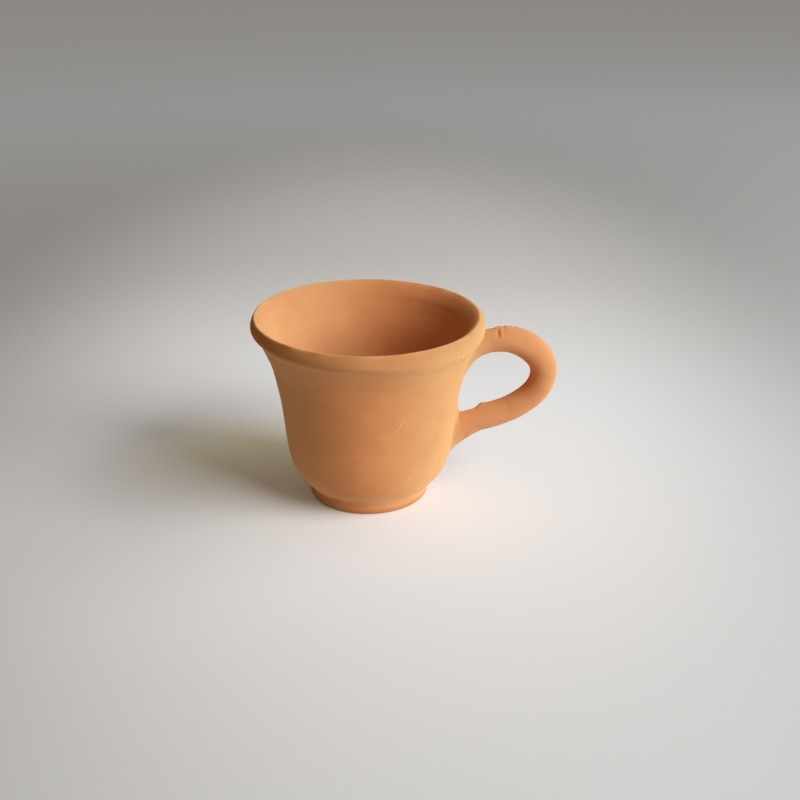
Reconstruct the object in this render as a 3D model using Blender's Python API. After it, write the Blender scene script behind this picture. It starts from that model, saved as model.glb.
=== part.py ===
"""Espresso cup in unglazed terracotta, modelled as the potter makes it.

The bell-shaped body is thrown on the wheel, with a rolled lip and a turned foot. A coil of the same clay
is rolled out and bent into the handle, and two wads of joint clay lute its ends to the wall.

Metres, +Z up. The origin is the centre of the foot's underside, and the handle points along +X.
"""

from math import cos, pi, radians, sin

import bmesh
import bpy
from mathutils import Vector
from mathutils.geometry import interpolate_bezier

MM = 0.001

# Lip: a roll of clay that stands out past a groove round the top of the wall.
CUP_HEIGHT = 57.4 * MM
LIP_DIAMETER = 70.0 * MM  # outside, at the roll's widest line
ROLL_HEIGHT = 5.2 * MM  # from the groove up to the crest
ROLL_OVERHANG = 2.1 * MM  # from the groove out to the widest line
ROLL_SHOULDER = 2.1 * MM  # from the widest line up to the crest
CREST_INSET = 1.0 * MM  # from the widest line in to the crest
LIP_EASE = (0.5, 0.4)  # roundness of the lip's inner edge, at the crest and at the wall

# Wall: a belly that rises steeply from the foot, then a bell that opens to the lip.
WALL_THICKNESS = 3.5 * MM
WAIST_DIAMETER = 54.6 * MM  # outside, where the belly passes into the bell
WAIST_HEIGHT = 33.0 * MM
BELLY_LEAN = radians(53.2)  # off the vertical, where the wall leaves the foot
WAIST_LEAN = radians(10.1)
GROOVE_LEAN = radians(20.5)
BELLY_EASE = (0.32, 0.49)  # how long each curve holds its ends' leans, as shares of its chord
BELL_EASE = (0.66, 0.50)

# Foot and floor.
FOOT_DIAMETER = 37.2 * MM
FOOT_HEIGHT = 4.7 * MM
FOOT_STEP = 0.5 * MM  # how far the belly's lower edge stands out past the foot
FOOT_EDGE_RADIUS = 1.2 * MM  # the foot's lower edge, wiped round
FLOOR_THICKNESS = 6.5 * MM  # from the underside up to the inside
FLOOR_FLAT_DIAMETER = 20.0 * MM
FLOOR_SWEEP = 2.5 * MM  # height above the floor where the wall starts to turn into it
FLOOR_EASE = (0.4, 0.5)  # roundness of that turn, at the wall and at the floor

# Handle: a coil that runs from the upper joint over a crown, round the bow and in to the belly.
COIL_DIAMETER = 8.1 * MM  # at the bow
COIL_CROWN_DIAMETER = 7.6 * MM  # the coil is drawn a little thinner at both ends
COIL_LOWER_DIAMETER = 7.7 * MM
CROWN_OUT = 9.3 * MM  # coil's middle at the crown, from the wall at the upper joint
CROWN_DROP = 7.8 * MM  # coil's middle at the crown, below the lip's crest
CROWN_EASE = 0.33  # how soon the coil levels out on its way to the crown, as a share of that way
CROWN_HOLD = 3.3 * MM  # how long the coil holds its direction past the crown
BOW_OUT = 21.0 * MM  # coil's middle at the bow's widest, from the wall at the upper joint
BOW_DROP = 18.0 * MM  # coil's middle at the bow's widest, below the lip's crest
BOW_HOLD_ABOVE = 6.8 * MM
BOW_HOLD_BELOW = 8.3 * MM
RETURN_SLOPE = radians(14.3)  # fall of the coil's lower end towards the wall
RETURN_HOLD = 9.4 * MM
RETURN_HEIGHT = 24.1 * MM  # coil's middle at its lower end

# Joint clay: each wad carries on from the coil's end and spreads in a hollow curve onto the wall.
UPPER_ROOT_HEIGHT = CUP_HEIGHT - 9.3 * MM  # middle of the upper joint on the wall
UPPER_REACH = 5.6 * MM  # from the wall to the coil's upper end
UPPER_SLOPE = radians(8.0)  # fall of the coil's upper end towards the wall
UPPER_FILLET = 5.2 * MM  # how far off the wall the spread starts
UPPER_SPREAD_UP = 1.0 * MM
UPPER_SPREAD_DOWN = 12.0 * MM
UPPER_SPREAD_SIDE = 2.0 * MM
LOWER_ROOT_HEIGHT = 19.6 * MM  # middle of the lower joint on the wall
LOWER_REACH = 8.2 * MM
LOWER_FILLET = 6.0 * MM
LOWER_SPREAD_UP = 3.0 * MM
LOWER_SPREAD_DOWN = 4.5 * MM
LOWER_SPREAD_SIDE = 2.5 * MM
CLEARANCE = 0.3 * MM  # between pieces that are luted together

# Fired clay: linear colours of the body, of the redder coil and of the joints.
BODY_COLOUR = (0.66, 0.32, 0.14)
COIL_COLOUR = (0.68, 0.29, 0.13)
JOINT_COLOUR = (0.68, 0.31, 0.14)
CLAY_ROUGHNESS = 0.9

# Facets.
TURN_STEPS = 60
WALL_STEPS = 9
ARC_STEPS = 5
FLOOR_STEPS = 4
COIL_STEPS = 12
COIL_ROUNDNESS = 7
JOINT_SIDES = 24
JOINT_STEPS = 7
FILLET_SWEEP = radians(76)  # stops short of a feather edge on the wall
SINK = 2.0 * MM  # how far a joint's stock runs into the wall before it is cut to it
SHARP_EDGE = radians(40)
WELD = 0.001 * MM

UP = Vector((0, 0, 1))
OUT = Vector((1, 0, 0))


def point(radius, height):
    return Vector((radius, 0, height))


def leaning(angle):
    """Direction up a wall that leans out by this angle."""
    return Vector((sin(angle), 0, cos(angle)))


def curve(start, leave, end, arrive, eases, steps):
    """A smooth curve that leaves one point and arrives at another in the given directions."""
    chord = (end - start).length
    first = start + leave * chord * eases[0]
    second = end - arrive * chord * eases[1]
    return interpolate_bezier(start, first, second, end, steps + 1)


def arc(centre, half_width, half_height, start, stop, steps):
    angles = [start + (stop - start) * i / steps for i in range(steps + 1)]
    return [centre + point(half_width * cos(a), half_height * sin(a)) for a in angles]


def offset(line, distance):
    """The line moved sideways, to the left of its run."""
    moved = []
    for i, place in enumerate(line):
        along = (line[min(i + 1, len(line) - 1)] - line[max(i - 1, 0)]).normalized()
        moved.append(place + Vector((-along.z, 0, along.x)) * distance)
    return moved


def outer_wall():
    """Outside of the wall, from the belly's lower edge up to the groove under the lip."""
    edge = point(FOOT_DIAMETER / 2 + FOOT_STEP, FOOT_HEIGHT)
    waist = point(WAIST_DIAMETER / 2, WAIST_HEIGHT)
    groove = point(LIP_DIAMETER / 2 - ROLL_OVERHANG, CUP_HEIGHT - ROLL_HEIGHT)
    belly = curve(edge, leaning(BELLY_LEAN), waist, leaning(WAIST_LEAN), BELLY_EASE, WALL_STEPS)
    bell = curve(waist, leaning(WAIST_LEAN), groove, leaning(GROOVE_LEAN), BELL_EASE, WALL_STEPS)
    return belly + bell[1:]


def foot_side():
    """Underside and side of the foot, from the axis out and up to the step."""
    corner = point(FOOT_DIAMETER / 2 - FOOT_EDGE_RADIUS, FOOT_EDGE_RADIUS)
    edge = arc(corner, FOOT_EDGE_RADIUS, FOOT_EDGE_RADIUS, -pi / 2, 0, ARC_STEPS)
    return [point(0, 0), *edge, point(FOOT_DIAMETER / 2, FOOT_HEIGHT)]


def roll():
    """Outside of the lip's roll, from the groove round to the crest."""
    widest = CUP_HEIGHT - ROLL_SHOULDER
    below = point(LIP_DIAMETER / 2 - ROLL_OVERHANG, widest)
    above = point(LIP_DIAMETER / 2 - CREST_INSET, widest)
    under = arc(below, ROLL_OVERHANG, ROLL_HEIGHT - ROLL_SHOULDER, -pi / 2, 0, ARC_STEPS)
    over = arc(above, CREST_INSET, ROLL_SHOULDER, 0, pi / 2, ARC_STEPS)
    return under[1:] + over[1:]


def inside(crest):
    """Inside of the cup, from the crest over the lip's inner edge and down the wall to the floor."""
    wall = [p for p in offset(outer_wall(), WALL_THICKNESS) if p.z > FLOOR_THICKNESS + FLOOR_SWEEP]
    wall.reverse()
    lip = curve(crest, -OUT, wall[0], (wall[1] - wall[0]).normalized(), LIP_EASE, ARC_STEPS)
    flat = point(FLOOR_FLAT_DIAMETER / 2, FLOOR_THICKNESS)
    sweep = curve(wall[-1], (wall[-1] - wall[-2]).normalized(), flat, -OUT, FLOOR_EASE, FLOOR_STEPS)
    return lip[1:] + wall[1:] + sweep[1:] + [point(0, FLOOR_THICKNESS)]


def wall_at(height):
    """Point on the outside of the wall at a height, and the direction up the wall there."""
    line = outer_wall()
    for low, high in zip(line, line[1:]):
        if height <= high.z:
            break
    return low.lerp(high, (height - low.z) / (high.z - low.z)), (high - low).normalized()


def fired_clay(name, colour):
    material = bpy.data.materials.new(name)
    material.use_nodes = True
    shader = material.node_tree.nodes["Principled BSDF"]
    shader.inputs["Base Color"].default_value = (*colour, 1)
    shader.inputs["Roughness"].default_value = CLAY_ROUGHNESS
    shader.inputs["Metallic"].default_value = 0.0
    return material


def add_object(name, data, colour):
    piece = bpy.data.objects.new(name, data)
    bpy.context.scene.collection.objects.link(piece)
    data.materials.append(fired_clay(name, colour))
    return piece


def add_mesh(name, shape, colour):
    bmesh.ops.recalc_face_normals(shape, faces=shape.faces)
    mesh = bpy.data.meshes.new(name)
    shape.to_mesh(mesh)
    shape.free()
    mesh.shade_smooth()
    mesh.set_sharp_from_angle(angle=SHARP_EDGE)
    return add_object(name, mesh, colour)


def revolve(line):
    """Solid of revolution about the cup's axis, from a line that starts and ends on the axis."""
    shape = bmesh.new()
    verts = [shape.verts.new(place) for place in line]
    edges = [shape.edges.new(pair) for pair in zip(verts, verts[1:])]
    bmesh.ops.spin(
        shape, geom=verts + edges, cent=(0, 0, 0), axis=UP, angle=2 * pi, steps=TURN_STEPS, use_merge=True
    )
    bmesh.ops.remove_doubles(shape, verts=shape.verts, dist=WELD)
    return shape


def loft(rings):
    """Closed skin over a row of rings, each with as many points as the next."""
    shape = bmesh.new()
    loops = [[shape.verts.new(place) for place in ring] for ring in rings]
    for here, there in zip(loops, loops[1:]):
        for i in range(len(here)):
            shape.faces.new((here[i - 1], here[i], there[i], there[i - 1]))
    shape.faces.new(loops[0])
    shape.faces.new(loops[-1])
    return shape


def cup_body(outside):
    return add_mesh("cup_body", revolve(outside + inside(outside[-1])), BODY_COLOUR)


def wall_cutter(outside):
    """The cup's outside, filled and grown by the clearance, to cut the joints' beds."""
    top = offset(outside, -CLEARANCE)
    top[0].x = 0
    cutter = add_mesh("wall_cutter", revolve(top + [point(0, top[-1].z)]), BODY_COLOUR)
    cutter.hide_render = True
    cutter.display_type = "WIRE"
    return cutter


def upper_end():
    """Middle of the coil's upper end, and the direction in which it points at the wall."""
    root, _ = wall_at(UPPER_ROOT_HEIGHT)
    inward = -point(cos(UPPER_SLOPE), sin(UPPER_SLOPE))
    return root - inward * UPPER_REACH, inward


def lower_end():
    """Middle of the coil's lower end, and the direction in which it points at the wall."""
    root, _ = wall_at(LOWER_ROOT_HEIGHT)
    inward = -point(cos(RETURN_SLOPE), sin(RETURN_SLOPE))
    return point(root.x + LOWER_REACH, RETURN_HEIGHT), inward


def handle():
    start, start_inward = upper_end()
    end, end_inward = lower_end()
    root, _ = wall_at(UPPER_ROOT_HEIGHT)
    crown = point(root.x + CROWN_OUT, CUP_HEIGHT - CROWN_DROP)
    bow = point(root.x + BOW_OUT, CUP_HEIGHT - BOW_DROP)
    ease = (crown - start).length * CROWN_EASE
    # Each knot: its place, the coil's run there, how long it holds that run before and after, thickness.
    knots = (
        (start, -start_inward, ease, ease, COIL_CROWN_DIAMETER),
        (crown, OUT, ease, CROWN_HOLD, COIL_CROWN_DIAMETER),
        (bow, -UP, BOW_HOLD_ABOVE, BOW_HOLD_BELOW, COIL_DIAMETER),
        (end, end_inward, RETURN_HOLD, RETURN_HOLD, COIL_LOWER_DIAMETER),
    )
    coil = bpy.data.curves.new("handle", "CURVE")
    coil.dimensions = "3D"
    coil.bevel_depth = COIL_DIAMETER / 2
    coil.bevel_resolution = COIL_ROUNDNESS
    coil.resolution_u = COIL_STEPS
    coil.use_fill_caps = True
    spline = coil.splines.new("BEZIER")
    spline.bezier_points.add(len(knots) - 1)
    for knot, (place, run, before, after, thickness) in zip(spline.bezier_points, knots):
        knot.handle_left_type = knot.handle_right_type = "FREE"
        knot.co = place
        knot.handle_left = place - run * before
        knot.handle_right = place + run * after
        knot.radius = thickness / COIL_DIAMETER
    return add_object("handle", coil, COIL_COLOUR)


def joint_clay(name, coil_end, thickness, root_height, fillet, spreads, cutter):
    """A wad from the coil's end to the wall: a plug as thick as the coil that spreads near the wall."""
    radius = thickness / 2
    spread_up, spread_down, spread_side = spreads
    end, inward = coil_end
    start = end + inward * CLEARANCE
    root, rise = wall_at(root_height)
    across = Vector((-inward.z, 0, inward.x))
    across = across if across.z > 0 else -across
    plain = max(1 - fillet / (root - start).length, 0)
    # Each station: how far along the wad it is, and how much of the spread it has.
    stations = [(0, 0)]
    for i in range(JOINT_STEPS + 1):
        sweep = FILLET_SWEEP * i / JOINT_STEPS
        stations.append((plain + (1 - plain) * sin(sweep), 1 - cos(sweep)))
    if plain == 0:
        stations.pop(0)
    rings = []
    for along, spread in stations:
        middle = start.lerp(root, along)
        up = across.lerp(rise, along).normalized()
        ring = []
        for i in range(JOINT_SIDES):
            turn = 2 * pi * i / JOINT_SIDES
            half_height = radius + spread * (spread_up if cos(turn) > 0 else spread_down)
            half_width = radius + spread * spread_side
            ring.append(middle + up * half_height * cos(turn) + Vector((0, half_width * sin(turn), 0)))
        rings.append(ring)
    into_wall = Vector((-rise.z, 0, rise.x)) * SINK
    rings.append([place + into_wall for place in rings[-1]])
    wad = add_mesh(name, loft(rings), JOINT_COLOUR)
    bed = wad.modifiers.new("bed on the wall", "BOOLEAN")
    bed.operation = "DIFFERENCE"
    bed.object = cutter
    return wad


def main():
    for old in list(bpy.data.objects):
        bpy.data.objects.remove(old)
    outside = foot_side() + outer_wall() + roll()
    cup_body(outside)
    cutter = wall_cutter(outside)
    handle()
    joint_clay(
        "upper_joint_clay",
        upper_end(),
        COIL_CROWN_DIAMETER,
        UPPER_ROOT_HEIGHT,
        UPPER_FILLET,
        (UPPER_SPREAD_UP, UPPER_SPREAD_DOWN, UPPER_SPREAD_SIDE),
        cutter,
    )
    joint_clay(
        "lower_joint_clay",
        lower_end(),
        COIL_LOWER_DIAMETER,
        LOWER_ROOT_HEIGHT,
        LOWER_FILLET,
        (LOWER_SPREAD_UP, LOWER_SPREAD_DOWN, LOWER_SPREAD_SIDE),
        cutter,
    )


main()
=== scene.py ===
"""Looks of a small unglazed terracotta cup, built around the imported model.

Each clay piece is modelled again, finer than its solid and with the marks that the potter's hands left:
throwing lines, a lip pulled a little out of round, a coil torn at its ends, and joint clay smeared onto the
wall. The handle points along +X and the camera looks along +Y. The cup's lengths are in millimetres, which
make_piece turns into metres. The floor's and the lamp's are in metres. Angles are in degrees.
"""

from collections import namedtuple
from math import cos, exp, hypot, pi, radians, sin, tan

import bmesh
import bpy
import numpy as np
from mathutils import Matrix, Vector, noise
from mathutils.bvhtree import BVHTree


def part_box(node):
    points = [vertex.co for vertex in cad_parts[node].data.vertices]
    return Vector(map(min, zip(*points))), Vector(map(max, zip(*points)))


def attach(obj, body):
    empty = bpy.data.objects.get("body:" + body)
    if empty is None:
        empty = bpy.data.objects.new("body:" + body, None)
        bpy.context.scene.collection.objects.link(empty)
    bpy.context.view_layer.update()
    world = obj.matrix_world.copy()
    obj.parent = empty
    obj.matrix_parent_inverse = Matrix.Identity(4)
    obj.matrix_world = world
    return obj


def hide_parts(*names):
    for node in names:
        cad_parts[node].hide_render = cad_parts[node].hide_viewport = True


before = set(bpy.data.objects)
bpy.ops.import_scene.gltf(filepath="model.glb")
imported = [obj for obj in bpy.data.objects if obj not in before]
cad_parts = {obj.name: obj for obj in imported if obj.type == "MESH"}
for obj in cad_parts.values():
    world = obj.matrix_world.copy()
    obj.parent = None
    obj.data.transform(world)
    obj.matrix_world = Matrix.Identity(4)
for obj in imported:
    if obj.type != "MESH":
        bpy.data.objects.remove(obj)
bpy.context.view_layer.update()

MM = 0.001
BODY_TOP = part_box("cup_body")[1]

# Body: its section, with the main sizes of its solid. A lean is how far a wall leans out from upright. An
# ease is how long a curve holds the directions of its two ends, as shares of its chord.
CUP_HEIGHT = BODY_TOP.z / MM
LIP_RADIUS = BODY_TOP.x / MM
ROLL_HEIGHT = 5.2  # from the groove up to the crest
ROLL_OVERHANG = 2.1  # from the groove out to the widest line
ROLL_SHOULDER = 3.3  # from the widest line up to the crest
ROLL_LEAN = 46
ROLL_EASE = (0.35, 0.45)
BAND_TOP = (1.0, 0.35)  # the roll's upper edge: how far in from the widest line and below the crest
BAND_TOP_LEAN = -26
BAND_EASE = (0.45, 0.2)
CREST_INSET = 1.5  # from the widest line in to the crest
CREST_EASE = (0.4, 0.4)
WALL_THICKNESS = 3.5
WAIST_RADIUS = 27.3
WAIST_HEIGHT = 33.0
BELLY_LEAN = 53.2
WAIST_LEAN = 10.1
GROOVE_LEAN = 20.5
BELLY_EASE = (0.32, 0.49)
BELL_EASE = (0.66, 0.50)
LIP_EASE = (0.08, 0.4)
FLOOR_EASE = (0.4, 0.5)
FOOT_RADIUS = 18.6
FOOT_HEIGHT = 4.7
FOOT_STEP = 0.5  # how far the belly's lower edge stands out past the foot
FOOT_EDGE = 1.0  # roundness of the rim that it stands on
FOOT_FLARE = 0.3  # the foot is this much narrower at its rim, and wider at its top
FLOOR_HEIGHT = 6.5
FLOOR_FLAT_RADIUS = 10.0
FLOOR_SWEEP = 2.5  # height above the floor where the wall starts to turn into it
GROOVE = (LIP_RADIUS - ROLL_OVERHANG, CUP_HEIGHT - ROLL_HEIGHT)
BELLY_EDGE = (FOOT_RADIUS + FOOT_STEP, FOOT_HEIGHT)
CLEAR_RADIUS = 2 * LIP_RADIUS  # a place this far out is clear of the cup

# Body: the shape that the hand left. A turn is an angle round the cup from the handle, counted to the far
# side. A spread is how soon a mark fades to both sides of its turn. A zone is the heights over which it
# comes in or ends.
WIPE_REACH = 0.22  # how far a wet sponge softens each corner
FINGER_WIPE_REACH = 1.6  # and a finger that ran round in the groove and above the foot
GROOVE_WIPE_LENGTH = 3.0
FOOT_WIPE_LENGTH = 1.6
ROLL_SAG = 2.0  # the roll was folded down further on the handle's side
ROLL_SAG_TURNS = (105, 35)  # not at all at the first turn to either side, and fully at the second
GROOVE_FILL = 0.66  # and the groove is nearly filled here
GROOVE_FILL_TURN = -76
GROOVE_FILL_SPREAD = 27
GROOVE_ZONE = (44.5, 52.2, 55.0)  # heights where both start, are full and end
LIP_ZONE = (44, 55)
LIP_PULL = 0.3  # the lip is drawn out here
LIP_PULL_TURN = 163
LIP_PULL_SPREAD = 20
LIP_SWELL = 0.75  # the lip is thicker inwards by the handle
LIP_SWELL_TURN = -8
LIP_SWELL_SPREAD = 24
LIP_TOP_ZONE = (56.5, 57.4)
CREST_RISE = 0.55  # the crest stands higher here
CREST_RISE_TURN = 148
CREST_RISE_SPREAD = 34
WALL_PRESS = 0.2  # the wall is pressed in here
WALL_PRESS_TURN = 180
WALL_PRESS_SPREAD = 35
WALL_PRESS_ZONE = (24, 36)
FOOT_DRIFT = 0.45  # the foot was turned a little off centre, away from the handle
FOOT_ZONE = (0, 7)
THROWING_PITCH = 3.2
THROWING_DEPTH_OUTSIDE = 0.03
THROWING_DEPTH_INSIDE = 0.025
WALL_LUMP = 16.0
WALL_LUMP_DEPTH = 0.12
WIRE_MIDDLE = (-26.0, 9.0)  # the twisted wire cut the underside in arcs round this point
WIRE_PITCH = 1.9
WIRE_DEPTH = 0.11
WIRE_LEVEL = (0.9, 1.0)  # how squarely a face looks down where the arcs come in

# Body: how it wore, and painted shade: a redder tint and darker clay where shade falls.
SHADE_TINT_TURN = -98  # painted shade tint: reddest where the light falls off towards shade
SHADE_TINT_SPREAD = 26
AWAY_REDNESS = 0.45  # how red the shaded side away from the handle is painted
LIP_PALENESS = 0.45  # the share of this redness that the lip lacks
FOOT_PALENESS = 0.2  # and the belly down by the foot
FOOT_PALE_ZONE = (4, 12)
INSIDE_AWAY = (0.32, 0.8)  # inside, it ends between these shares of the width from the handle's side
INSIDE_ZONE = (25, 45)  # and, further round, between these heights
INNER_LIP_ZONE = (56.2, 57.4)  # the inside's own tone ends here
LIP_SHADE_TURN = -150  # painted shade: the lip's band is darkened here, on its shaded side
LIP_SHADE_SPREAD = 38
LIP_SHADE_ZONE = (51.9, 53.2)
FOOT_RIM_SHADOW_ZONE = (0.4, 2.6)  # painted contact shadow: the rim that it stands on is as dark
FOOT_SHADE_ZONE = (4.0, 5.4)  # and painted shade makes the foot nearly as dark here, up to the belly's edge
FOOT_SHADE_SHARE = 0.85
FOOT_SHADE_TURN = -150
FOOT_SHADE_SPREAD = 34
WORN_LIP = (56.3, 57.4)  # the lip's edge is rubbed pale
WORN_FOOT = (4.0, 4.8, 6.0, 10.0)  # and the belly's edge: heights where it starts, is full, fades and ends
WORN_FOOT_SHARE = 0.5

# Handle: the coil's middle line, as knots in the plane of the handle. Zones here are distances out.
COIL_ROOT = (31.3, 48.9)
COIL_START = (36.8, 49.45)
COIL_START_SLOPE = 5.5
COIL_CROWN = (41.0, 49.75)
COIL_BOW = (52.6, 39.44)
COIL_END = (33.97, 24.14)
COIL_END_SLOPE = 14.3
COIL_TAIL = 7.0  # how far the coil runs on into the lower joint
START_HOLDS = (1.4, 1.4)  # how long it keeps its directions from the start to the crown
CROWN_HOLDS = (3.3, 6.8)  # from the crown to the bow
BOW_HOLDS = (8.3, 9.4)  # and from the bow to the end
COIL_WIPE = 0.8  # how far the bends were smoothed
# The coil's radius by share of its length: root, start, crown, shoulder, bow, lower run, end and tail.
COIL_RADII = (
    (0.0, 3.65), (0.08, 3.72), (0.16, 3.96), (0.33, 4.22),
    (0.5, 3.9), (0.72, 3.85), (0.86, 3.98), (1.0, 3.9),
)
COIL_LUMP = 7.0
COIL_LUMP_DEPTH = 0.14
# Marks across the coil where it was bent and pressed: run, distance out, turn round the coil from its outer
# side, half width, half spread round and rise.
COIL_MARKS = (
    ("upper", 38.50, 41, 0.46, 13, -0.42),
    ("upper", 39.30, 44, 0.40, 17, 0.16),
    ("upper", 40.15, -6, 0.26, 20, -0.24),
    ("upper", 42.35, -8, 0.28, 16, -0.16),
    ("upper", 44.90, 60, 0.90, 22, -0.10),
    ("lower", 34.05, 208, 0.30, 14, -0.28),
    ("lower", 35.30, 200, 0.90, 26, 0.24),
    ("lower", 42.50, 128, 0.70, 16, -0.14),
    ("lower", 47.00, 40, 1.60, 30, -0.12),
)
# Torn ends: distance out, turn of the torn side, its half spread, and how deep the coil is torn there.
TEARS = {"upper": (38.0, -26, 20, 0.9), "lower": (34.0, 206, 20, 1.7)}
TEAR_RUN = 0.7  # how far past its edge a tear is at its deepest
TEAR_WANDER = 0.45  # how far that edge wanders
TEAR_LUMP = 0.45
COIL_INSIDE_TURN = 170  # the middle of the loop's inner side, painted darker and redder as shade out by the bow
COIL_INSIDE_SPREAD = 42
COIL_INSIDE_ZONE = (42, 50)
COIL_WORN_SPREAD = 40  # its outer side, at turn 0, is rubbed pale out by the bow
COIL_WORN_ZONE = (44, 54)
COIL_SMEAR_ZONE = (35.0, 37.6)  # slip was smeared over its upper end, up to here
COIL_SMEAR_LUMP = 2.4

# Joint clay: the distance out at which it leaves the coil, its middle on the wall, and for its top, sides
# and bottom: how deep it starts under the coil's skin, how far it reaches over the wall, how long its hollow
# curve holds to the coil and to the wall, how far it sags, and how far it stands off the wall. Last, how far
# off the wall it turns to handle clay.
UPPER_JOINT = {
    "station": 37.9, "middle": 48.1, "sinks": (0.42, 0.05, 0.05), "reaches": (4.2, 6.6, 15.3),
    "coil_holds": (1.8, 3.6, 8.2), "wall_holds": (0.3, 2.2, 5.9), "sags": (0, 0, 0), "stands": (0, 0, 0),
    "turning": (2.6, 5.4),
}
LOWER_JOINT = {
    "station": 34.6, "middle": 20.6, "sinks": (0.30, 0.05, 0.05), "reaches": (9.8, 5.4, 8.8),
    "coil_holds": (6.6, 5.0, 4.2), "wall_holds": (6.3, 1.2, 1.9), "sags": (3.2, 0, 0), "stands": (1.5, 0, 0),
    "turning": (0.9, 2.7),
}
JOINT_SINK = 0.05  # how far its edge lies under the wall's skin
JOINT_ROOT = 1.5  # how far its hidden end runs into the wall
JOINT_BEYOND = 1.05  # the wall's direction is taken from here, as a share of the reach
JOINT_LUMP = 2.4
JOINT_LUMP_DEPTH = 0.16

# Slip left on the wall. A dab's turn is round the cup, and its tilt is off the level.
Dab = namedtuple("Dab", "turn height length width rise tilt paleness")
SLIP_DABS = (
    Dab(-70.2, 32.9, 8.4, 0.50, 0.06, 62, 1.6),
    Dab(-61.4, 12.9, 6.2, 0.50, 0.06, 80, 1.8),
    Dab(-42.0, 51.7, 2.0, 0.70, 0.26, 14, 3.0),
    Dab(-38.2, 52.1, 1.7, 0.70, 0.26, 8, 3.0),
    Dab(-13.5, 52.4, 3.4, 1.50, 0.12, 70, 0.5),
    Dab(-11.5, 49.8, 2.6, 1.30, 0.10, 100, 0.5),
)
DAB_SINK = 0.04  # how far its edge lies under the wall's skin
DAB_ROOT = 0.4  # how far its hidden end runs into the wall
DAB_SHARES = (0.3, 0.55, 0.75, 0.9, 1.0)  # how far out from its middle its rings lie
DAB_RAGGED = 0.3
DAB_LUMP = 0.6

# Terracotta, unglazed: an iron-rich clay fired to a warm orange, dry and open-pored, so that it has no gloss
# and is a little uneven in tone. Tones are the clay where it is densest, on the whole, and where driest.
BODY_TONES = ("#D4A46D", "#DAAA74", "#E0B17C")
INSIDE_TONES = ("#DBA36E", "#E1AA75", "#E6B07C")
PAINTED_SHADE_TONES = ("#C27B41", "#C98347", "#CF8B50")  # painted shade on the lip's shaded band and the foot, with a painted contact shadow at the rim it stands on
SHADE_TINT_TONES = ("#D8905A", "#DE9760", "#E49E68")  # painted shade tint: redder where the light falls off, on the shaded side and inside
COIL_TONES = ("#DB9B68", "#E2A371", "#E8AC7A")
COIL_SHADE_TONES = ("#CE7E4A", "#D78651", "#DF925E")  # painted shade: the inner side of the loop
TONE_STOPS = (0.34, 0.5, 0.66)  # where the three tones lie between dense and dry
RUBBED = "#E4BC88"  # edges that are handled, dusty and paler
RUBBED_ZONE = (0.35, 0.7)  # rubbing shows on drier clay
RUBBED_SHOWS = 0.6
IRON = "#A8643A"  # burnt-out grains of iron
IRON_SPACING = 3.4
IRON_SIZE = 0.4
IRON_CORE = 0.5  # the share of a grain's width that is evenly dark
IRON_SHOWS = 0.3
CLAY_SPECULAR = 0.25
CLAY_DIFFUSE_ROUGHNESS = 0.8
CLAY_ROUGHNESS = (0.84, 0.96)  # dense and dry
DRY_ZONE = (0.3, 0.7)
# Unevenness of the clay: sizes, how many finer sizes each holds, and the share of the tone that each takes.
CLOUD = 24.0  # soft patches from the fire
CLOUD_DETAIL = 1
MOTTLE = 6.5  # wetter and drier clay
MOTTLE_DETAIL = 3
MOTTLE_SHARE = 0.45
GRAIN = 0.45  # grit of about 0.1 mm, drawn coarser so that it shows
GRAIN_DETAIL = 1
GRAIN_SHARE = 0.12
GRAIN_DEPTH = 0.03
LINE_DETAIL = 2  # wiping lines of a sponge, of rolling palms and of a finger
LINE_SHARE = 0.1
LINE_STRETCH = 0.07  # a line's width as a share of its length
SPONGE_LINE = 1.0
SPONGE_DEPTH = 0.008
PALM_LINE = 1.6
PALM_DEPTH = 0.05
FINGER_LINE = 0.8
FINGER_DEPTH = 0.07

# Floor: a background board painted white round the cup and greyer towards its edges, a painted fall-off of
# the light. Its middle also looks a little brighter to the camera than the lamp makes it, least where the
# cup's shadow is deepest.
BOARD_SIZE = 8.0
BOARD_MIDDLE = (0.0, 0.0, 0.0)
BOARD_ROUGHNESS = 0.8
BOARD_WHITE = "#F0F4F7"
BOARD_GREY = "#BDC2C5"
WHITE_MIDDLE = (-0.003, 0.125, 0.0)
WHITE_SHAPE = (1.54, 0.7, 1.0)  # the white runs further back than to the sides
WHITE_ZONE = (0.1025, 0.3255)
GLOW = 0.222
GLOW_COLOUR = "#E8EFF6"
GLOW_MIDDLE = (-0.014, 0.06, 0.0)
GLOW_REACH = 0.21
FAR_GLOW = 0.18  # far off, where the lamp no longer reaches, the board stays pale
FAR_ZONE = (0.1, 0.78)
# Where it glows less, as painted shadow: middle, reach and the share that is left, by the foot and to the
# front left.
SHADES = (((-0.022, -0.003, 0.0), 0.06, 0.35), ((-0.068, -0.024, 0.0), 0.066, 0.05))
SHADE_COLOUR = "#E9ECC8"  # painted warm light that the cup throws into its own shadow
SHADE_COLOUR_MIDDLE = (-0.035, 0.012, 0.0)
SHADE_COLOUR_ZONE = (0.015, 0.06)

# Light: one soft lamp from the right of the camera, and a dim warm room.
LAMP_TURN = 61  # round from the camera's side
LAMP_ELEVATION = 30.5
LAMP_AWAY = 0.8
LAMP_SIZE = 0.56
LAMP_POWER = 7.55
LAMP_AIM = (0, 0, 0.03)
ROOM_COLOUR = "#FFE0BF"
ROOM_STRENGTH = 0.187

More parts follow.
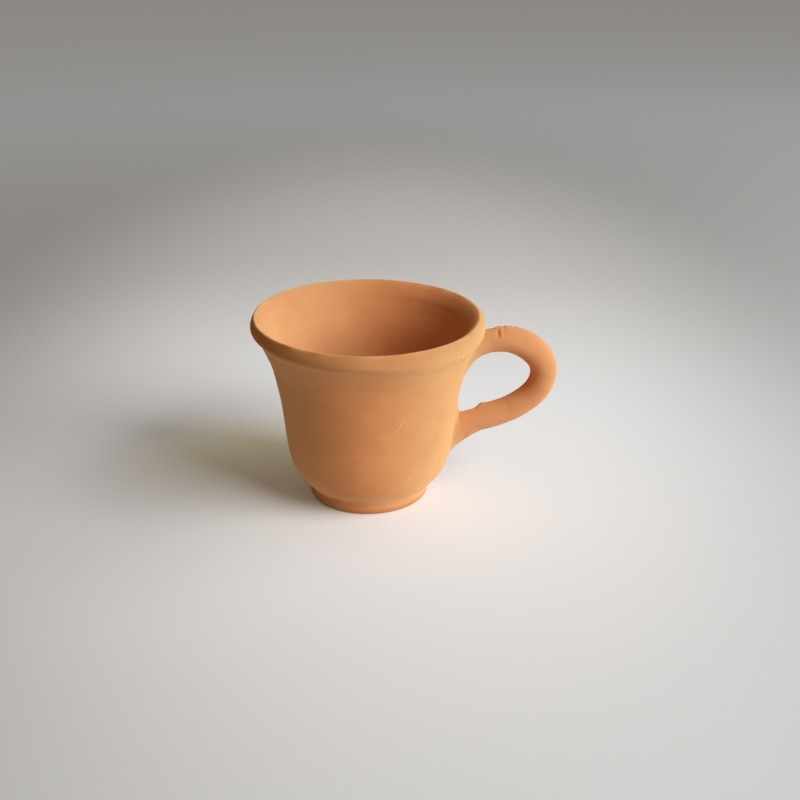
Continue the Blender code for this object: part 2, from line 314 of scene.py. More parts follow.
# Facets.
CURVE_POINTS = 60
FINE_STEP = 0.1
BODY_STEP = 0.45
LIP_STEP = 0.18
BODY_TURNS = 256
COIL_STEP = 0.4
COIL_FINE_STEP = 0.14
COIL_FINE_ENDS = (11.5, 14.0)  # how long the finely stepped ends are
COIL_SIDES = 80
JOINT_SIDES = 112
JOINT_STEPS = 36
DAB_SIDES = 20
WIPE_TAILS = 3  # wiping is worked out to this many times its reach

# Sockets of a Mix node that take and give colours, whose names are not unique.
MIX_UNDER = 6
MIX_OVER = 7
MIX_COLOUR = 2

# Photograph: the camera that fits the lip and the foot.
CAMERA_PLACE = (9.277, -327.84, 173.68)
CAMERA_PITCH = 23.7006
CAMERA_LENS = 52.841


def lean(angle):
    """Direction up a wall that leans out by an angle."""
    return np.array([sin(radians(angle)), cos(radians(angle))])


def bend(start, leave, end, arrive, holds, points=CURVE_POINTS):
    """Points of a smooth curve that keeps its first and its last direction for the given lengths."""
    start, end = np.array(start), np.array(end)
    first = start + np.array(leave) * holds[0]
    second = end - np.array(arrive) * holds[1]
    t = np.linspace(0, 1, points)[:, None]
    return (1 - t) ** 3 * start + 3 * (1 - t) ** 2 * t * first + 3 * (1 - t) * t**2 * second + t**3 * end


def eased(start, end, eases):
    """Lengths for which a curve holds its directions, from shares of its chord."""
    return np.linalg.norm(np.array(end) - start) * np.array(eases)


def lengths(line):
    """Distance of each point along the line."""
    return np.concatenate([[0], np.cumsum(np.linalg.norm(np.diff(line, axis=0), axis=1))])


def directions(line):
    """Direction of the line at each point."""
    along = np.gradient(line, axis=0)
    return along / np.linalg.norm(along, axis=1)[:, None]


def at_places(line, places):
    """Points of the line at the given distances along it."""
    return np.stack([np.interp(places, lengths(line), column) for column in line.T], 1)


def even(line, step):
    """The line with its points a step apart."""
    length = lengths(line)[-1]
    return at_places(line, np.linspace(0, length, round(length / step) + 1))


def wiped(line, reach):
    """The line with its corners softened over a reach."""
    fine = even(line, FINE_STEP)
    spread = np.arange(-WIPE_TAILS * reach, WIPE_TAILS * reach + FINE_STEP, FINE_STEP)
    weights = np.exp(-0.5 * (spread / reach) ** 2)
    pad = len(weights) // 2
    padded = np.pad(fine, ((pad, pad), (0, 0)), mode="reflect", reflect_type="odd")
    return np.stack([np.convolve(column, weights / weights.sum(), "valid") for column in padded.T], 1)


def ramp(value, zone):
    """Smooth rise from 0 to 1 over a zone."""
    t = min(max((value - zone[0]) / (zone[1] - zone[0]), 0), 1)
    return t * t * (3 - 2 * t)


def hump(angle, middle, spread):
    """Smooth hump of height 1 round a middle angle."""
    away = (angle - middle + 180) % 360 - 180
    return exp(-0.5 * (away / spread) ** 2)


def lump(place, size):
    """Rise of a lumpy surface, from -1 to 1, with lumps of a size."""
    return noise.noise(Vector(place) / size)


def turns(count):
    """Angle, cosine and sine at even steps round a circle."""
    return [(360 * i / count, cos(2 * pi * i / count), sin(2 * pi * i / count)) for i in range(count)]


def make_piece(name, rings, ends, material, nodes, marks):
    """A closed mesh over a row of rings, with a point at each end, that stands for CAD nodes.

    Marks are values or places on the rings' points that the material reads by name.
    """
    shape = bmesh.new()
    loops = [[shape.verts.new(Vector(place) * MM) for place in ring] for ring in rings]
    count = len(loops[0])
    for here, there in zip(loops, loops[1:]):
        for i in range(count):
            shape.faces.new((here[i - 1], here[i], there[i], there[i - 1]))
    for loop, place in zip((loops[0], loops[-1]), ends):
        tip = shape.verts.new(Vector(place) * MM)
        for i in range(count):
            shape.faces.new((loop[i - 1], loop[i], tip))
    bmesh.ops.recalc_face_normals(shape, faces=shape.faces)
    mesh = bpy.data.meshes.new(name)
    shape.to_mesh(mesh)
    shape.free()
    mesh.shade_smooth()
    mesh.materials.append(material)
    for mark, values in marks.items():
        values = np.array(values, np.float32)
        flat = np.concatenate([values.reshape(-1, *values.shape[2:]), values[[0, -1], 0]])
        kind, field = ("FLOAT_VECTOR", "vector") if flat.ndim == 2 else ("FLOAT", "value")
        mesh.attributes.new(mark, kind, "POINT").data.foreach_set(field, flat.ravel())
    piece = bpy.data.objects.new(name, mesh)
    bpy.context.scene.collection.objects.link(piece)
    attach(piece, "root")
    if nodes:
        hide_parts(*nodes)
    return piece


def body_outline():
    """Half section of the body, from the middle of the underside up over the lip and down to the floor."""
    waist = (WAIST_RADIUS, WAIST_HEIGHT)
    widest = (LIP_RADIUS, CUP_HEIGHT - ROLL_SHOULDER)
    top = (LIP_RADIUS - BAND_TOP[0], CUP_HEIGHT - BAND_TOP[1])
    crest = (LIP_RADIUS - CREST_INSET, CUP_HEIGHT)
    turn = np.radians(np.linspace(-90, 0, CURVE_POINTS))
    foot = np.stack([FOOT_EDGE * (np.cos(turn) - 1), FOOT_EDGE * (np.sin(turn) + 1)], 1)
    foot[:, 0] += FOOT_RADIUS - FOOT_FLARE
    side = [(FOOT_RADIUS + FOOT_FLARE, FOOT_HEIGHT)]
    belly = bend(BELLY_EDGE, lean(BELLY_LEAN), waist, lean(WAIST_LEAN), eased(BELLY_EDGE, waist, BELLY_EASE))
    bell = bend(waist, lean(WAIST_LEAN), GROOVE, lean(GROOVE_LEAN), eased(waist, GROOVE, BELL_EASE))
    wall = np.concatenate([belly, bell[1:]])
    under = bend(GROOVE, lean(ROLL_LEAN), widest, (0, 1), eased(GROOVE, widest, ROLL_EASE))
    band = bend(widest, (0, 1), top, lean(BAND_TOP_LEAN), eased(widest, top, BAND_EASE))
    over = bend(top, lean(BAND_TOP_LEAN), crest, (-1, 0), eased(top, crest, CREST_EASE))
    along = directions(wall)
    inner = wall + np.stack([-along[:, 1], along[:, 0]], 1) * WALL_THICKNESS
    inner = inner[inner[:, 1] > FLOOR_HEIGHT + FLOOR_SWEEP][::-1]
    down = directions(inner)
    lip = bend(crest, (-1, 0), inner[0], down[0], eased(crest, inner[0], LIP_EASE))
    flat = (FLOOR_FLAT_RADIUS, FLOOR_HEIGHT)
    sweep = bend(inner[-1], down[-1], flat, (-1, 0), eased(inner[-1], flat, FLOOR_EASE))
    runs = [[(0, 0)], foot, side, wall, under[1:], band[1:], over[1:], lip[1:], inner[1:], sweep[1:]]
    return np.concatenate([*runs, [(0, FLOOR_HEIGHT)]])


def sponged(line):
    """The section with its corners softened, most of all in the groove under the lip and above the foot."""
    soft = wiped(line, WIPE_REACH)
    softer = wiped(line, FINGER_WIPE_REACH)
    for corner, length in ((GROOVE, GROOVE_WIPE_LENGTH), (BELLY_EDGE, FOOT_WIPE_LENGTH)):
        away = np.linalg.norm(soft - corner, axis=1)[:, None]
        share = np.exp(-((away / length) ** 2))
        soft = softer * share + soft * (1 - share)
    return soft


def stepped(line):
    """Places along the section, closer together in the lip and the foot."""
    places, heights = lengths(line), line[:, 1]
    steps = [0]
    while steps[-1] < places[-1] - BODY_STEP:
        height = np.interp(steps[-1], places, heights)
        steps.append(steps[-1] + (BODY_STEP if FOOT_ZONE[1] < height < LIP_ZONE[0] else LIP_STEP))
    return np.array([*steps, places[-1]])


def hand_shift(angle, height, outside):
    """How far the potter's hands moved the clay out and up at a turn and a height."""
    in_lip = ramp(height, LIP_ZONE)
    inwards = ramp(height, LIP_TOP_ZONE) if outside else in_lip
    pressed = ramp(height, WALL_PRESS_ZONE) * (1 - in_lip)
    pull = LIP_PULL * in_lip * hump(angle, LIP_PULL_TURN, LIP_PULL_SPREAD)
    swell = LIP_SWELL * inwards * hump(angle, LIP_SWELL_TURN, LIP_SWELL_SPREAD)
    press = WALL_PRESS * pressed * hump(angle, WALL_PRESS_TURN, WALL_PRESS_SPREAD)
    rise = CREST_RISE * in_lip * hump(angle, CREST_RISE_TURN, CREST_RISE_SPREAD)
    if not outside:
        return pull - swell - press, rise
    start, full, end = GROOVE_ZONE
    in_groove = ramp(height, (start, full)) * ramp(height, (end, full))
    sag = ROLL_SAG * in_groove * ramp(min(angle, 360 - angle), ROLL_SAG_TURNS)
    fill = GROOVE_FILL * in_groove * hump(angle, GROOVE_FILL_TURN, GROOVE_FILL_SPREAD)
    return pull + fill - swell - press - sag * tan(radians(GROOVE_LEAN)), rise - sag


def wire_cut(x, y):
    """Rise of the arcs that the wire left on the underside."""
    reach = hypot(x - WIRE_MIDDLE[0], y - WIRE_MIDDLE[1])
    return WIRE_DEPTH * (1 + sin(2 * pi * reach / WIRE_PITCH)) / 2


def body_worn(height, outside):
    """How much the body is rubbed pale."""
    edge = ramp(height, WORN_LIP)
    if outside:
        edge += WORN_FOOT_SHARE * (ramp(height, WORN_FOOT[:2]) - ramp(height, WORN_FOOT[2:]))
    return edge


def body_shade_tint(angle, height, outside):
    """How much redder the clay is painted as shade: most where the light falls off outside, less on the side
    away from the handle, and, inside, towards the handle and the floor.
    """
    away = (1 - cos(radians(angle))) / 2
    if outside:
        falling_off = hump(angle, SHADE_TINT_TURN, SHADE_TINT_SPREAD)
        pale = LIP_PALENESS * ramp(height, LIP_ZONE) + FOOT_PALENESS * (1 - ramp(height, FOOT_PALE_ZONE))
        return (AWAY_REDNESS * away * (1 - falling_off) + falling_off) * (1 - pale)
    return max(1 - ramp(away, INSIDE_AWAY), 1 - ramp(height, INSIDE_ZONE))


def body_painted_shade(angle, height):
    """How dark the outside is painted as shade: on the lip's shaded band, as a contact shadow at the rim it
    stands on, and on the foot's shaded side.
    """
    roll = ramp(height, LIP_SHADE_ZONE) * hump(angle, LIP_SHADE_TURN, LIP_SHADE_SPREAD)
    rim = 1 - ramp(height, FOOT_RIM_SHADOW_ZONE)
    side = FOOT_SHADE_SHARE * (1 - ramp(height, FOOT_SHADE_ZONE))
    return roll + max(rim, side * hump(angle, FOOT_SHADE_TURN, FOOT_SHADE_SPREAD))


def thrown_body(material):
    """The body, ring by ring along its section, with its throwing lines and what the hand left on it."""
    line = sponged(body_outline())
    steps = stepped(line)
    line = at_places(line, steps)
    along = directions(line)
    crest = line[:, 1].argmax()
    circle = turns(BODY_TURNS)
    rings = []
    marks = {"hand": [], "worn": [], "redder": [], "painted_shade": [], "inside": []}
    for i in range(1, len(line) - 1):
        radius, height = line[i]
        out, up = along[i][1], -along[i][0]
        outside = i < crest
        underside = outside and height < FOOT_EDGE and up < -out
        depth = THROWING_DEPTH_OUTSIDE if outside else THROWING_DEPTH_INSIDE
        drift = FOOT_DRIFT * (1 - ramp(height, FOOT_ZONE)) if outside else 0
        relief = ramp(height, (0, FOOT_EDGE)) if outside else ramp(radius, (0, FLOOR_FLAT_RADIUS))
        ring = []
        for angle, c, s in circle:
            place = (radius * c, radius * s, height)
            lumps = lump(place, WALL_LUMP)
            spiral = sin(2 * pi * (steps[i] / THROWING_PITCH - angle / 360))
            rise = (depth * spiral * (1 + lumps) / 2 + WALL_LUMP_DEPTH * lumps) * relief
            shift, lift = hand_shift(angle, height, outside)
            far = radius + rise * out + shift
            high = height + rise * up + lift
            if underside:
                high += wire_cut(place[0], place[1]) * ramp(-up, WIRE_LEVEL)
            ring.append((far * c - drift, far * s, high))
        rings.append(ring)
        shrunk = LINE_STRETCH * radius
        marks["hand"].append([(shrunk * c, shrunk * s, steps[i]) for _, c, s in circle])
        marks["worn"].append([body_worn(height, outside)] * BODY_TURNS)
        marks["redder"].append([body_shade_tint(angle, height, outside) for angle, _, _ in circle])
        marks["painted_shade"].append([body_painted_shade(angle, height) if outside else 0 for angle, _, _ in circle])
        marks["inside"].append([0 if outside else 1 - ramp(height, INNER_LIP_ZONE)] * BODY_TURNS)
    ends = ((-FOOT_DRIFT, 0, 0), (0, 0, FLOOR_HEIGHT))
    return make_piece("thrown_body", rings, ends, material, ["cup_body"], marks)


def coil_path():
    """The coil's middle line in the plane of the handle, from inside the upper joint to inside the lower."""
    inward = -np.array([cos(radians(COIL_END_SLOPE)), sin(radians(COIL_END_SLOPE))])
    outward = np.array([cos(radians(COIL_START_SLOPE)), sin(radians(COIL_START_SLOPE))])
    over = bend(COIL_START, outward, COIL_CROWN, (1, 0), START_HOLDS)
    round_bow = bend(COIL_CROWN, (1, 0), COIL_BOW, (0, -1), CROWN_HOLDS)
    back = bend(COIL_BOW, (0, -1), COIL_END, inward, BOW_HOLDS)
    whole = np.concatenate([[COIL_ROOT], over, round_bow[1:], back[1:], [COIL_END + inward * COIL_TAIL]])
    return wiped(whole, COIL_WIPE)


def coil_places(length):
    """Places along the coil, closer together at its ends."""
    first_end, last_end = COIL_FINE_ENDS
    starts = (0, first_end, length - last_end)
    stretches = zip(starts, (*starts[1:], length), (COIL_FINE_STEP, COIL_STEP, COIL_FINE_STEP))
    return np.concatenate([
        np.linspace(start, end, round((end - start) / step), endpoint=False)
        for start, end, step in stretches
    ])


def coil_radius(share):
    """The coil's radius at a share of its length."""
    shares, radii = zip(*COIL_RADII)
    return np.interp(share, shares, radii)


def torn_away(out, angle, tear):
    """How much of the coil is torn off at a distance out and a turn round it, past a ragged edge."""
    start, side, spread, depth = tear
    ragged = start + TEAR_WANDER * lump((cos(radians(angle)), sin(radians(angle)), start), TEAR_LUMP)
    return depth * hump(angle, side, spread) * ramp(ragged - out, (0, TEAR_RUN))


def coil_marks(run, x, angle):
    """How far the marks across one run of the coil raise its skin, at a distance out and a turn round it."""
    rise = 0
    for mark_run, out, turn, half_width, spread, height in COIL_MARKS:
        if mark_run == run:
            rise += height * exp(-(((x - out) / half_width) ** 2)) * hump(angle, turn, spread)
    return rise


def rolled_handle(material):
    """The coil, ring by ring along its middle line, with its marks and its torn ends."""
    path = coil_path()
    length = lengths(path)[-1]
    places = coil_places(length)
    middle = at_places(path, places)
    along = np.stack([np.interp(places, lengths(path), column) for column in directions(path).T], 1)
    circle = turns(COIL_SIDES)
    rings = []
    marks = {"hand": [], "worn": [], "redder": [], "smeared": []}
    for place, (x, z), (run_x, run_z) in zip(places, middle, along):
        radius = coil_radius(place / length)
        run = "upper" if place < length / 2 else "lower"
        worn, redder = ramp(x, COIL_WORN_ZONE), ramp(x, COIL_INSIDE_ZONE)
        ring, smear = [], []
        for angle, c, s in circle:
            spot = (x - run_z * radius * c, -radius * s, z + run_x * radius * c)
            size = radius + COIL_LUMP_DEPTH * lump(spot, COIL_LUMP)
            size += coil_marks(run, x, angle) - torn_away(x, angle, TEARS[run])
            ring.append((x - run_z * size * c, -size * s, z + run_x * size * c))
            edge = x + lump(spot, COIL_SMEAR_LUMP)
            smear.append(1 - ramp(edge, COIL_SMEAR_ZONE) if run == "upper" else 0)
        rings.append(ring)
        marks["hand"].append([(LINE_STRETCH * place, radius * c, radius * s) for _, c, s in circle])
        marks["worn"].append([worn * hump(angle, 0, COIL_WORN_SPREAD) for angle, _, _ in circle])
        inner_side = [hump(angle, COIL_INSIDE_TURN, COIL_INSIDE_SPREAD) for angle, _, _ in circle]
        marks["redder"].append([redder * share for share in inner_side])
        marks["smeared"].append(smear)
    ends = [(x, 0, z) for x, z in (middle[0], middle[-1])]
    make_piece("rolled_handle", rings, ends, material, ["handle"], marks)


def wall_hit(tree, start, inward):
    """Where a line from clear of the cup meets the body, and which way the wall faces there."""
    place, normal, _, _ = tree.ray_cast(Vector(start) * MM, Vector(inward))
    return np.array(place) / MM, np.array(normal)


def handle_side(tree, y, z):
    """The outside of the body, straight in from the handle's side."""
    return wall_hit(tree, (CLEAR_RADIUS, y, z), (-1, 0, 0))


def off_wall(tree, place):
    """How far a place stands off the wall, out on the handle's side."""
    x, y, z = place
    hit, _ = handle_side(tree, y, z)
    return x - hit[0]


def by_angle(c, values):
    """A value round a joint, from what it has at its top, sides and bottom."""
    top, side, bottom = values
    return side + ((top if c > 0 else bottom) - side) * c * c


def joint_lumps(line, across, normal):
    """How far each point of a joint's curve swells, most of all halfway between the coil and the wall."""
    shares = np.linspace(0, 1, len(line))[:, None]
    lumps = np.array([[lump(place, JOINT_LUMP)] for place in line])
    halfway = 4 * shares * (1 - shares)  # 1 halfway along, and 0 at both ends
    return (across * (1 - shares) + normal * shares) * JOINT_LUMP_DEPTH * lumps * halfway


def smeared_joint(name, node, tree, joint, material):
    """Joint clay that leaves the coil at a station and spreads in a hollow curve onto the wall."""
    path = coil_path()
    half = len(path) // 2
    stretch = slice(0, half) if joint["middle"] > WAIST_HEIGHT else slice(half, None)
    nearest = np.abs(path[stretch, 0] - joint["station"]).argmin() + stretch.start
    run_x, run_z = directions(path)[nearest]
    inward = -np.array([abs(run_x), 0, abs(run_z)])
    up = np.array([inward[2], 0, -inward[0]])
    centre = np.array([path[nearest][0], 0, path[nearest][1]])
    radius = coil_radius(lengths(path)[nearest] / lengths(path)[-1])
    middle = joint["middle"]
    reach_up, reach_side, reach_down = joint["reaches"]
    lines, hand, redder = [], [], []
    for _, c, s in turns(JOINT_SIDES):
        across = up * c + np.array([0, -s, 0])
        skin = radius + COIL_LUMP_DEPTH * lump(centre + across * radius, COIL_LUMP)
        start = centre + across * (skin - by_angle(c, joint["sinks"]))
        y, z = -reach_side * s, (reach_up if c > 0 else reach_down) * c
        end, normal = handle_side(tree, y, middle + z)
        beyond, _ = handle_side(tree, y * JOINT_BEYOND, middle + z * JOINT_BEYOND)
        away = (beyond - end) / np.linalg.norm(beyond - end)
        end = end - normal * JOINT_SINK
        leave = inward * by_angle(c, joint["coil_holds"]) - np.array([0, 0, by_angle(c, joint["sags"])])
        arrive = away * by_angle(c, joint["wall_holds"]) - normal * by_angle(c, joint["stands"])
        line = bend(start, leave, end, arrive, (1, 1), JOINT_STEPS)
        line += joint_lumps(line, across, normal)
        lines.append([*line, end - normal * JOINT_ROOT])
        # Along the streaks, each step of the curve counts as a millimetre.
        hand.append([(LINE_STRETCH * step, radius * c, radius * s) for step in range(JOINT_STEPS + 1)])
        redder.append([ramp(off_wall(tree, place), joint["turning"]) for place in lines[-1]])
    rings, hand, redder = [list(zip(*values)) for values in (lines, hand, redder)]
    ends = (centre, np.mean(rings[-1], axis=0))
    marks = {"hand": hand, "redder": redder}
    make_piece(name, rings, ends, material, [node], marks)


def under_dab(tree, dab, share, c, s):
    """The wall under a dab of slip, at a share of the way to its ragged edge and a turn round it."""
    along = np.array([cos(radians(dab.tilt)), sin(radians(dab.tilt))])
    across = np.array([-along[1], along[0]])
    ragged = 1 + DAB_RAGGED * lump((dab.turn + c, dab.height + s, share), DAB_LUMP)
    side, up = (along * dab.length * c + across * dab.width * s * ragged) * share / 2
    angle = radians(dab.turn) + side / WAIST_RADIUS
    outward = np.array([cos(angle), sin(angle), 0])
    start = outward * CLEAR_RADIUS + np.array([0, 0, dab.height + up])
    return wall_hit(tree, start, -outward)


def slip_dab(name, tree, dab, material):
    """A thin smear of slip on the outside of the wall."""
    rings = []
    for share in DAB_SHARES:
        lift = (dab.rise + DAB_SINK) * (1 - share**2) - DAB_SINK
        hits = [under_dab(tree, dab, share, c, s) for _, c, s in turns(DAB_SIDES)]
        rings.append([place + normal * lift for place, normal in hits])
    place, normal = under_dab(tree, dab, 0, 1, 0)
    ends = (place + normal * dab.rise, place - normal * DAB_ROOT)
    marks = {"worn": [[dab.paleness] * DAB_SIDES] * len(DAB_SHARES)}
    make_piece(name, rings, ends, material, [], marks)


def linear(hex_colour):
    """An sRGB hex colour as linear values, by the sRGB standard's formula."""
    channels = [int(hex_colour[i : i + 2], 16) / 255 for i in (1, 3, 5)]
    return (*[c / 12.92 if c <= 0.04045 else ((c + 0.055) / 1.055) ** 2.4 for c in channels], 1)


def add_node(tree, kind, inputs, **settings):
    """A node with its settings, whose inputs hold values or are linked from other nodes' outputs."""
    made = tree.nodes.new(kind)
    for name, value in settings.items():
        setattr(made, name, value)
    for name, value in inputs.items():
        if isinstance(value, bpy.types.NodeSocket):
            tree.links.new(value, made.inputs[name])
        else:
            made.inputs[name].default_value = value
    return made


def clay_tones(tree, firing, tones):
    """Colour of clay by how it fired, from dense to dry."""
    toned = add_node(tree, "ShaderNodeValToRGB", {"Fac": firing})
    stops = toned.color_ramp.elements
    stops.new(TONE_STOPS[1])
    for stop, place, tone in zip(stops, TONE_STOPS, tones):
        stop.position = place
        stop.color = linear(tone)
    return toned.outputs["Color"]


def rubbed_share(tree, mottle):
    """How much of the clay is rubbed: patches of what is marked as worn."""
    worn = add_node(tree, "ShaderNodeAttribute", {}, attribute_name="worn").outputs["Fac"]
    start, end = RUBBED_ZONE
    patchy = add_node(tree, "ShaderNodeMapRange", {
        "Value": mottle, "From Min": start, "From Max": end, "To Max": RUBBED_SHOWS,
    }).outputs["Result"]
    return add_node(tree, "ShaderNodeMath", {0: worn, 1: patchy}, operation="MULTIPLY").outputs["Value"]


def iron_share(tree, place):
    """How much of the clay is iron: scattered grains, some fainter than others."""
    scattered = {"Vector": place, "Scale": 1 / (IRON_SPACING * MM)}
    cells = add_node(tree, "ShaderNodeTexVoronoi", scattered).outputs
    edge = IRON_SIZE / IRON_SPACING / 2
    dots = add_node(tree, "ShaderNodeMapRange", {
        "Value": cells["Distance"], "From Min": edge, "From Max": edge * IRON_CORE, "To Max": IRON_SHOWS,
    }).outputs["Result"]
    some = add_node(tree, "ShaderNodeSeparateColor", {"Color": cells["Color"]}).outputs["Red"]
    return add_node(tree, "ShaderNodeMath", {0: dots, 1: some}, operation="MULTIPLY").outputs["Value"]


def terracotta(name, line, line_depth, tones, marked_tones):
    """Unglazed terracotta, wiped in lines of a width and depth, with other tones where it is marked."""
    material = bpy.data.materials.new(name)
    material.use_nodes = True
    tree = material.node_tree
    shader = tree.nodes["Principled BSDF"]
    shader.inputs["Specular IOR Level"].default_value = CLAY_SPECULAR
    shader.inputs["Diffuse Roughness"].default_value = CLAY_DIFFUSE_ROUGHNESS
    place = add_node(tree, "ShaderNodeTexCoord", {}).outputs["Object"]
    hand = add_node(tree, "ShaderNodeAttribute", {}, attribute_name="hand").outputs["Vector"]

    textures = []
    for where, scale, detail in (
        (place, 1 / (CLOUD * MM), CLOUD_DETAIL),
        (place, 1 / (MOTTLE * MM), MOTTLE_DETAIL),
        (hand, 1 / line, LINE_DETAIL),
        (place, 1 / (GRAIN * MM), GRAIN_DETAIL),
    ):
        pattern = {"Vector": where, "Scale": scale, "Detail": detail}
        textures.append(add_node(tree, "ShaderNodeTexNoise", pattern).outputs["Fac"])
    firing, mottle, lines, grain = textures
    for texture, share in ((mottle, MOTTLE_SHARE), (lines, LINE_SHARE), (grain, GRAIN_SHARE)):
        mixed = {"Factor": share, "A": firing, "B": texture}
        firing = add_node(tree, "ShaderNodeMix", mixed).outputs["Result"]

    coats = []
    for mark, others in marked_tones.items():
        marked = add_node(tree, "ShaderNodeAttribute", {}, attribute_name=mark).outputs["Fac"]
        coats.append((marked, clay_tones(tree, firing, others)))
    coats.append((rubbed_share(tree, mottle), linear(RUBBED)))
    coats.append((iron_share(tree, place), linear(IRON)))
    colour = clay_tones(tree, firing, tones)
    for share, coat in coats:
        mixed = {"Factor": share, MIX_UNDER: colour, MIX_OVER: coat}
        colour = add_node(tree, "ShaderNodeMix", mixed, data_type="RGBA").outputs[MIX_COLOUR]
    tree.links.new(colour, shader.inputs["Base Color"])

    dense, dry = DRY_ZONE
    smooth, rough = CLAY_ROUGHNESS
    roughness = add_node(tree, "ShaderNodeMapRange", {
        "Value": firing, "From Min": dense, "From Max": dry, "To Min": smooth, "To Max": rough,
    }).outputs["Result"]
    tree.links.new(roughness, shader.inputs["Roughness"])
    lined = add_node(tree, "ShaderNodeBump", {"Height": lines, "Distance": line_depth * MM})
    gritty = add_node(tree, "ShaderNodeBump", {
        "Height": grain, "Distance": GRAIN_DEPTH * MM, "Normal": lined.outputs["Normal"],
    })
    tree.links.new(gritty.outputs["Normal"], shader.inputs["Normal"])
    return material


def thrown_clay():
    """The body's terracotta, thrown and sponged."""
    # A sponge leaves a soft skin with hardly a line, so that the eye sees mostly its tone, and painted shade
    # that reddens and darkens it.
    toned = {"inside": INSIDE_TONES, "redder": SHADE_TINT_TONES, "painted_shade": PAINTED_SHADE_TONES}
    return terracotta("terracotta, thrown and sponged", SPONGE_LINE, SPONGE_DEPTH, BODY_TONES, toned)


def rolled_clay():
    """The coil's terracotta, rolled by hand."""
    # Palms leave broad shallow streaks along the coil, which looks pinker than the body, and its loop is
    # painted darker and redder as shade.
    bent = {"redder": COIL_SHADE_TONES, "smeared": BODY_TONES}
    return terracotta("terracotta, rolled by hand", PALM_LINE, PALM_DEPTH, COIL_TONES, bent)


def smeared_clay():
    """The joints' terracotta slip, smeared by finger."""
    # A finger leaves narrow streaks off the coil, and the tone goes over from the coil's to the body's.
    turned = {"redder": COIL_TONES}
    return terracotta("terracotta slip, smeared by finger", FINGER_LINE, FINGER_DEPTH, BODY_TONES, turned)


def faded(tree, place, middle, zone, values):
    """A value that changes smoothly with the distance from a middle."""
    away = add_node(tree, "ShaderNodeVectorMath", {0: place, 1: middle}, operation="DISTANCE")
    return add_node(tree, "ShaderNodeMapRange", {
        "Value": away.outputs["Value"], "From Min": zone[0], "From Max": zone[1],
        "To Min": values[0], "To Max": values[1],
    }, interpolation_type="SMOOTHSTEP").outputs["Result"]


def board_glow(tree, place):
    """How much brighter the board looks than the lamp makes it, to the camera and in reflections."""
    glow = faded(tree, place, GLOW_MIDDLE, (0, GLOW_REACH), (GLOW, 0))
    for middle, reach, left in SHADES:
        shade = faded(tree, place, middle, (0, reach), (left, 1))
        glow = add_node(tree, "ShaderNodeMath", {0: glow, 1: shade}, operation="MULTIPLY").outputs["Value"]
    far = faded(tree, place, BOARD_MIDDLE, FAR_ZONE, (0, FAR_GLOW))
    glow = add_node(tree, "ShaderNodeMath", {0: glow, 1: far}, operation="ADD").outputs["Value"]
    rays = add_node(tree, "ShaderNodeLightPath", {}).outputs
    seen = rays["Is Camera Ray"]
    for name in ("Is Glossy Ray", "Is Transmission Ray"):
        either = {0: seen, 1: rays[name]}
        seen = add_node(tree, "ShaderNodeMath", either, operation="MAXIMUM").outputs["Value"]
    return add_node(tree, "ShaderNodeMath", {0: glow, 1: seen}, operation="MULTIPLY").outputs["Value"]


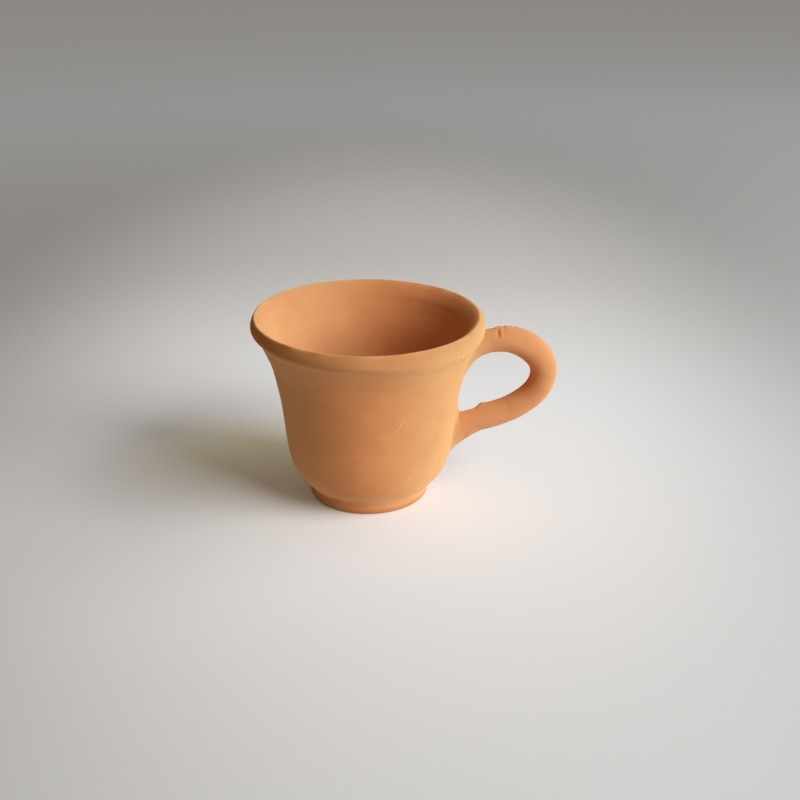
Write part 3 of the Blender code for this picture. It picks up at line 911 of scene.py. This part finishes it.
def painted_board():
    """Matte paint, sprayed on a board from white to grey as a painted fall-off of the light, with a painted
    glow.
    """
    # Sprayed paint has no gloss and no edge between its tones, so the eye sees a background that just fades,
    # as the light would.
    material = bpy.data.materials.new("matte background paint, with painted fall-off")
    material.use_nodes = True
    tree = material.node_tree
    shader = tree.nodes["Principled BSDF"]
    shader.inputs["Roughness"].default_value = BOARD_ROUGHNESS
    place = add_node(tree, "ShaderNodeTexCoord", {}).outputs["Object"]
    shape = {0: place, 1: WHITE_SHAPE}
    shaped = add_node(tree, "ShaderNodeVectorMath", shape, operation="MULTIPLY").outputs["Vector"]
    shaped_middle = [a * b for a, b in zip(WHITE_MIDDLE, WHITE_SHAPE)]
    grey = faded(tree, shaped, shaped_middle, WHITE_ZONE, (0, 1))
    cooler = faded(tree, place, SHADE_COLOUR_MIDDLE, SHADE_COLOUR_ZONE, (0, 1))
    for share, under, over, socket in (
        (grey, BOARD_WHITE, BOARD_GREY, "Base Color"),
        (cooler, SHADE_COLOUR, GLOW_COLOUR, "Emission Color"),
    ):
        mixed = {"Factor": share, MIX_UNDER: linear(under), MIX_OVER: linear(over)}
        colour = add_node(tree, "ShaderNodeMix", mixed, data_type="RGBA").outputs[MIX_COLOUR]
        tree.links.new(colour, shader.inputs[socket])
    tree.links.new(board_glow(tree, place), shader.inputs["Emission Strength"])
    return material


def add_floor():
    """The board that the cup stands on."""
    bpy.ops.mesh.primitive_plane_add(size=BOARD_SIZE)
    floor = bpy.context.object
    floor.name = "floor"
    floor.data.materials.append(painted_board())


def add_lights():
    """The lamp and the room."""
    world = bpy.data.worlds.new("room")
    bpy.context.scene.world = world
    world.use_nodes = True
    room = world.node_tree.nodes["Background"]
    room.inputs["Color"].default_value = linear(ROOM_COLOUR)
    room.inputs["Strength"].default_value = ROOM_STRENGTH
    light = bpy.data.lights.new("softbox", "AREA")
    light.size = LAMP_SIZE
    light.energy = LAMP_POWER
    lamp = bpy.data.objects.new("softbox", light)
    turn, elevation = radians(LAMP_TURN), radians(LAMP_ELEVATION)
    level = cos(elevation)
    away = Vector((sin(turn) * level, -cos(turn) * level, sin(elevation)))
    lamp.location = Vector(LAMP_AIM) + away * LAMP_AWAY
    lamp.rotation_euler = away.to_track_quat("Z", "Y").to_euler()
    bpy.context.scene.collection.objects.link(lamp)


def add_camera():
    """The photograph's camera."""
    lens = bpy.data.cameras.new("camera")
    lens.lens = CAMERA_LENS
    camera = bpy.data.objects.new("camera", lens)
    camera.location = Vector(CAMERA_PLACE) * MM
    camera.rotation_euler = (radians(90 - CAMERA_PITCH), 0, 0)
    bpy.context.scene.collection.objects.link(camera)
    bpy.context.scene.camera = camera


def main():
    """The cup on its floor, lit and seen as in the photograph."""
    body = thrown_body(thrown_clay())
    tree = BVHTree.FromObject(body, bpy.context.evaluated_depsgraph_get())
    rolled_handle(rolled_clay())
    slip = smeared_clay()
    smeared_joint("upper_joint", "upper_joint_clay", tree, UPPER_JOINT, slip)
    smeared_joint("lower_joint", "lower_joint_clay", tree, LOWER_JOINT, slip)
    for i, dab in enumerate(SLIP_DABS):
        slip_dab(f"slip_dab_{i + 1}", tree, dab, slip)
    add_floor()
    add_lights()
    add_camera()
    bpy.context.scene.view_settings.view_transform = "Standard"


main()
